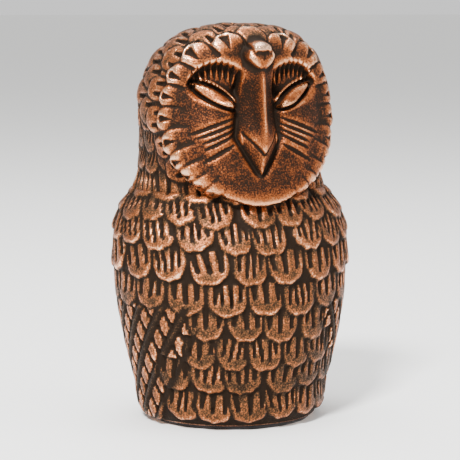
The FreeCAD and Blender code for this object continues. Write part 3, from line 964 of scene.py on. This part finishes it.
def noise(tree, scale_mm, detail=3.0, roughness=0.55):
    """Noise on object coordinates whose blobs are about so many millimetres wide."""
    place = add_node(tree, "ShaderNodeTexCoord")
    return add_node(
        tree,
        "ShaderNodeTexNoise",
        inputs={"Scale": 1 / (scale_mm * MM), "Detail": detail, "Roughness": roughness},
        links={"Vector": place.outputs["Object"]},
    ).outputs["Fac"]


def sums(tree, operation, first, second, third=None, clamp=False):
    """A math node; first, second and third are outputs or plain numbers."""
    node = add_node(tree, "ShaderNodeMath", {"operation": operation, "use_clamp": clamp})
    for k, value in enumerate((first, second, third)):
        if value is None:
            continue
        if isinstance(value, (int, float)):
            node.inputs[k].default_value = value
        else:
            tree.links.new(value, node.inputs[k])
    return node.outputs[0]


def colour_ramp(tree, factor, stops):
    """A colour ramp with (position, hex) stops."""
    node = add_node(tree, "ShaderNodeValToRGB", links={"Fac": factor})
    points = node.color_ramp.elements
    while len(points) < len(stops):
        points.new(0.5)
    for point, (place, colour) in zip(points, stops):
        point.position = place
        point.color = linear(colour)
    return node.outputs["Color"]


def attribute(tree, name):
    """A per-vertex number of the piece."""
    return add_node(tree, "ShaderNodeAttribute", {"attribute_name": name}).outputs["Fac"]


def spread(tree, value, target, start, end):
    """Links a target to a number that runs through the end range as the value runs through the start."""
    ranges = dict(zip(("From Min", "From Max", "To Min", "To Max"), (*start, *end)))
    node = add_node(tree, "ShaderNodeMapRange", inputs=ranges, links={"Value": value})
    tree.links.new(node.outputs[0], target)


def bumped(tree, shader, height, strength, depth_mm):
    """Roughens a shader's surface by a height pattern."""
    amounts = {"Strength": strength, "Distance": depth_mm * MM}
    node = add_node(tree, "ShaderNodeBump", inputs=amounts, links={"Height": height})
    tree.links.new(node.outputs[0], shader.inputs["Normal"])


def mixed(tree, factor, first, second):
    """A colour mix of two outputs."""
    node = add_node(tree, "ShaderNodeMix", {"data_type": "RGBA"})
    tree.links.new(factor, node.inputs[0])
    tree.links.new(first, node.inputs[6])
    tree.links.new(second, node.inputs[7])
    return node.outputs[2]


def antique_copper(finish):
    """Cast copper alloy, darkened all over and rubbed back: bare, sparkling copper on the high spots, with a
    painted highlight on the most rubbed arrises, matt umber oxide in the cuts, and a fine cast grain of
    about half a millimetre everywhere."""
    material, tree, shader = new_material(COPPER)
    grain = noise(tree, 0.42, 2.0)
    blotch = noise(tree, 2.4, 3.0)
    cloud = noise(tree, 9.0, 2.0)
    proud = attribute(tree, "proud")
    sharp = attribute(tree, "sharp")
    # Rubbing takes the oxide off what stands proud, unevenly, and sharp arrises first.
    rub = sums(tree, "MULTIPLY_ADD", proud, 0.76, -0.05)
    rub = sums(tree, "MULTIPLY_ADD", attribute(tree, "raised"), 0.24, rub)
    rub = sums(tree, "MULTIPLY_ADD", sharp, 2.0, rub)
    for pattern, share in ((grain, 1.15), (blotch, 0.35), (cloud, 0.15)):
        uneven = sums(tree, "MULTIPLY", sums(tree, "SUBTRACT", pattern, 0.5), share)
        rub = sums(tree, "ADD", rub, uneven)
    # Spots kept dark: unrubbed patina on the wing shafts and the chin's rim, and painted shade along the
    # foot's bottom edge.
    rub = sums(tree, "SUBTRACT", rub, sums(tree, "MULTIPLY", attribute(tree, "dull_and_shade"), 0.5), clamp=True)
    # The top stop is a painted highlight: a colour whiter than bare copper on the most rubbed arrises,
    # standing in for the light they catch.
    body = colour_ramp(tree, rub, (
        (0.12, finish["oxide"]), (0.36, finish["umber"]), (0.62, finish["copper"]),
        (0.86, finish["bright"]), (1.0, finish["glint"]),
    ))
    face = colour_ramp(tree, rub, (
        (0.08, finish["oxide"]), (0.24, finish["face_umber"]), (0.52, finish["face_copper"]),
        (1.0, finish["face_bright"]),
    ))
    tree.links.new(mixed(tree, attribute(tree, "face"), body, face), shader.inputs["Base Color"])
    spread(tree, rub, shader.inputs["Metallic"], (0.2, 0.6), (0.55, 1.0))
    spread(tree, rub, shader.inputs["Specular IOR Level"], (0.2, 0.6), (0.15, 0.5))
    spread(tree, rub, shader.inputs["Roughness"], (0.1, 0.9), (0.7, 0.22))
    pits = sums(tree, "ADD", sums(tree, "MULTIPLY", grain, 0.7), sums(tree, "MULTIPLY", blotch, 0.5))
    bumped(tree, shader, pits, 0.8, 0.25)
    return material


def pressed_felt(finish):
    """Pressed wool felt: matt, with a short nap that lifts the light at the edges."""
    material, tree, shader = new_material("pressed_wool_felt")
    fibres = noise(tree, 0.5, 6.0, 0.7)
    tree.links.new(
        colour_ramp(tree, fibres, ((0.3, finish["felt_dark"]), (0.75, finish["felt_light"]))),
        shader.inputs["Base Color"],
    )
    shader.inputs["Roughness"].default_value = 0.95
    shader.inputs["Sheen Weight"].default_value = 0.25
    bumped(tree, shader, fibres, 0.6, 0.15)
    return material


def worked_metal(name, dark, light, roughness, grain_mm, stretch=(1, 1, 1)):
    """A plain metal with a worked surface: a base colour that drifts a little and fine tool marks."""
    material, tree, shader = new_material(name)
    place = add_node(tree, "ShaderNodeTexCoord")
    drawn = add_node(
        tree, "ShaderNodeMapping", inputs={"Scale": stretch}, links={"Vector": place.outputs["Object"]}
    )
    marks = add_node(
        tree,
        "ShaderNodeTexNoise",
        inputs={"Scale": 1 / (grain_mm * MM), "Detail": 4.0},
        links={"Vector": drawn.outputs[0]},
    ).outputs["Fac"]
    tree.links.new(colour_ramp(tree, marks, ((0.3, dark), (0.7, light))), shader.inputs["Base Color"])
    shader.inputs["Metallic"].default_value = 1.0
    shader.inputs["Roughness"].default_value = roughness
    bumped(tree, shader, marks, 0.3, 0.05)
    return material


# ---- settings


def hex_colour(name, description, default):
    """A property that holds an sRGB hex value."""
    return bpy.props.StringProperty(name=name, description=description, default=default)


class OwlFinish(bpy.types.PropertyGroup):
    """The figurine's colours, as sRGB hex values."""

    oxide: hex_colour("Oxide", "Patina deep in the cuts", "1E140C")
    umber: hex_colour("Umber", "Patina on the flats", "4A331F")
    copper: hex_colour("Copper", "Half rubbed copper", "A35C33")
    bright: hex_colour("Bright", "Bare copper on the arrises", "F5B383")
    # Painted highlight: whiter than bare copper, standing in for the light the sharpest arrises catch.
    glint: hex_colour("Glint", "Polished edges that take the light", "FFE0C6")
    face_umber: hex_colour("Face Umber", "Dark of the disc", "47230F")
    face_copper: hex_colour("Face Copper", "Mid tone of the disc", "8E4B22")
    face_bright: hex_colour("Face Bright", "Arrises of the disc", "D39467")
    felt_dark: hex_colour("Felt Dark", "Between the felt's fibres", "0E0E10")
    felt_light: hex_colour("Felt Light", "The felt's fibres", "232326")


class OwlSizes(bpy.types.PropertyGroup):
    """What a user would change about the sculpting and the view."""

    detail: bpy.props.FloatProperty(
        name="Detail", description="Share of the full mesh density", default=1.0, min=0.2, max=1.2
    )
    felt_edge: bpy.props.FloatProperty(
        name="Felt Edge", description="Rounding of the felt's cut edge", default=0.35 * MM, unit="LENGTH"
    )
    camera_distance: bpy.props.FloatProperty(
        name="Camera Distance", description="From the camera to the figurine", default=0.55, unit="LENGTH"
    )
    camera_turn: bpy.props.FloatProperty(
        name="Camera Turn", description="Where the camera stands", default=math.radians(-20), subtype="ANGLE"
    )
    camera_rise: bpy.props.FloatProperty(
        name="Camera Rise",
        description="How far the camera looks down",
        default=math.radians(6.5),
        subtype="ANGLE",
    )


def detail_share():
    """The share of the full mesh density that this run is built at."""
    return bpy.context.scene.owl_sizes.detail * 1.0


def finish_colours():
    """The scene's colours as a plain dictionary."""
    group = bpy.context.scene.owl_finish
    return {name: getattr(group, name) for name in OwlFinish.__annotations__}


# ---- operators

FLOOR_SIDE = 60.0
WORLD_STRENGTH = 0.95
LIT_SPOT = Vector((0, 0, 0.055))
# Soft studio lights: name, place, side of the square panel in metres, and watts.
LIGHTS = (
    ("key", (-0.50, -0.64, 0.88), 0.2, 34.0),
    ("fill", (0.80, -0.45, 0.45), 0.5, 3.0),
    ("top", (0.0, 0.10, 0.9), 0.5, 8.0),
)
SENSOR_MM = 36
LENS_MM = 152.6
# How far the view's middle is from the figurine's own: sideways and down.
VIEW_SIDE = -0.2 * MM
VIEW_DROP = 2.4 * MM


class OWL_OT_stage(bpy.types.Operator):
    """Sets a pale floor, soft studio lights and the camera"""

    bl_idname = "owl.stage"
    bl_label = "Stage"

    def execute(self, context):
        sizes = context.scene.owl_sizes
        floor = new_primitive("floor", bpy.ops.mesh.primitive_plane_add, size=FLOOR_SIDE, location=(0, 0, 0))
        material, _, shader = new_material("pale_floor")
        shader.inputs["Base Color"].default_value = linear("F4F4F2")
        shader.inputs["Roughness"].default_value = 0.9
        floor.data.materials.append(material)
        world = bpy.data.worlds.new("studio")
        context.scene.world = world
        world.use_nodes = True
        background = world.node_tree.nodes["Background"]
        background.inputs["Color"].default_value = linear("FFFFFF")
        background.inputs["Strength"].default_value = WORLD_STRENGTH
        for name, place, size, power in LIGHTS:
            light = bpy.data.lights.new(name, "AREA")
            light.size = size
            light.energy = power
            lamp = bpy.data.objects.new(name, light)
            lamp.location = place
            lamp.rotation_euler = (LIT_SPOT - Vector(place)).to_track_quat("-Z", "Y").to_euler()
            context.collection.objects.link(lamp)
        place_camera(context, sizes)
        return {"FINISHED"}


def place_camera(context, sizes):
    """Stands the camera in front of the figurine, a little to the owl's right and above."""
    low, high = CAD_BOX
    aim = Vector((VIEW_SIDE, 0.0, (low[2] + high[2]) * 0.5 - VIEW_DROP))
    flat = math.cos(sizes.camera_rise)
    away = Vector((
        math.sin(sizes.camera_turn) * flat, -math.cos(sizes.camera_turn) * flat, math.sin(sizes.camera_rise)
    ))
    lens = bpy.data.cameras.new("view")
    lens.sensor_width = SENSOR_MM
    lens.lens = LENS_MM
    camera = bpy.data.objects.new("view", lens)
    camera.location = aim + away * sizes.camera_distance
    camera.rotation_euler = (-away).to_track_quat("-Z", "Y").to_euler()
    context.collection.objects.link(camera)
    context.scene.camera = camera


class OWL_OT_torso(bpy.types.Operator):
    """Sculpts the torso casting with its breast scales, wings and tail"""

    bl_idname = "owl.torso"
    bl_label = "Torso"

    def execute(self, context):
        piece = build_torso(detail_share())
        finish_piece(piece, bpy.data.materials[COPPER], "copper_casting", "torso_casting")
        return {"FINISHED"}


class OWL_OT_head(bpy.types.Operator):
    """Sculpts the head casting with its facial disc, closed eyes, beak and ruff"""

    bl_idname = "owl.head"
    bl_label = "Head"

    def execute(self, context):
        piece = build_head(detail_share())
        finish_piece(piece, bpy.data.materials[COPPER], "copper_casting", "head_casting")
        return {"FINISHED"}


class OWL_OT_felt(bpy.types.Operator):
    """Cuts the felt pad under the foot"""

    bl_idname = "owl.felt"
    bl_label = "Felt Pad"

    def execute(self, context):
        low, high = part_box("felt_pad")
        radius = (high[0] - low[0]) / 2
        thick = high[2] - low[2]
        piece = new_primitive(
            "felt_disc",
            bpy.ops.mesh.primitive_cylinder_add,
            vertices=256,
            radius=radius,
            depth=thick,
            location=[(a + b) / 2 for a, b in zip(low, high)],
        )
        bpy.ops.object.transform_apply(location=True, rotation=True, scale=True)
        apply_modifier(
            piece, "BEVEL", width=context.scene.owl_sizes.felt_edge, segments=3, limit_method="ANGLE"
        )
        # A hand-cut edge wanders by a tenth of a millimetre or so.
        p = read_points(piece.data)
        turn = np.arctan2(p[:, 1], p[:, 0])
        wander = 1 - 0.006 + 0.003 * np.sin(7 * turn) + 0.002 * np.sin(23 * turn + 1.0)
        p[:, :2] *= wander[:, None]
        write_points(piece.data, p)
        finish_piece(piece, pressed_felt(finish_colours()), "felt", "felt_pad")
        return {"FINISHED"}


class OWL_OT_hardware(bpy.types.Operator):
    """Gives the closing disc, its screws and the neck's braze their metals"""

    bl_idname = "owl.hardware"
    bl_label = "Hidden Hardware"

    def execute(self, context):
        metals = {
            "base_plate": worked_metal("rolled_brass_sheet", "8A6B3A", "B08D55", 0.38, 1.2, (1, 12, 1)),
            "base_screws": worked_metal("zinc_plated_steel", "8D8F90", "B6B8B8", 0.34, 0.3),
            "neck_braze": worked_metal("brazing_brass_as_run", "7C5A2C", "C29A55", 0.45, 0.8),
        }
        for node, metal in metals.items():
            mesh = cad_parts[node].data
            mesh.materials.clear()
            mesh.materials.append(metal)
        return {"FINISHED"}


class OWL_OT_metal(bpy.types.Operator):
    """Mixes the castings' antique copper"""

    bl_idname = "owl.metal"
    bl_label = "Antique Copper"

    def execute(self, context):
        antique_copper(finish_colours())
        return {"FINISHED"}


class OWL_PT_build(bpy.types.Panel):
    """Lists the figurine's pieces"""

    bl_label = "Owl Figurine"
    bl_idname = "OWL_PT_build"
    bl_space_type = "VIEW_3D"
    bl_region_type = "UI"
    bl_category = "Owl"

    def draw(self, context):
        for group in (context.scene.owl_sizes, context.scene.owl_finish):
            for name in type(group).__annotations__:
                self.layout.prop(group, name)
        for step in STEPS:
            self.layout.operator(step.bl_idname)


STEPS = (OWL_OT_stage, OWL_OT_metal, OWL_OT_torso, OWL_OT_head, OWL_OT_felt, OWL_OT_hardware)
CLASSES = (OwlFinish, OwlSizes, *STEPS, OWL_PT_build)


def register():
    """Registers the classes and the scene's settings."""
    for cls in CLASSES:
        bpy.utils.register_class(cls)
    bpy.types.Scene.owl_finish = bpy.props.PointerProperty(type=OwlFinish)
    bpy.types.Scene.owl_sizes = bpy.props.PointerProperty(type=OwlSizes)


def unregister():
    """Takes the scene's settings and the classes away again."""
    del bpy.types.Scene.owl_sizes
    del bpy.types.Scene.owl_finish
    for cls in reversed(CLASSES):
        bpy.utils.unregister_class(cls)


def main():
    """Builds everything in order."""
    register()
    for step in STEPS:
        area, name = step.bl_idname.split(".")
        getattr(getattr(bpy.ops, area), name)()


if __name__ == "__main__":
    main()
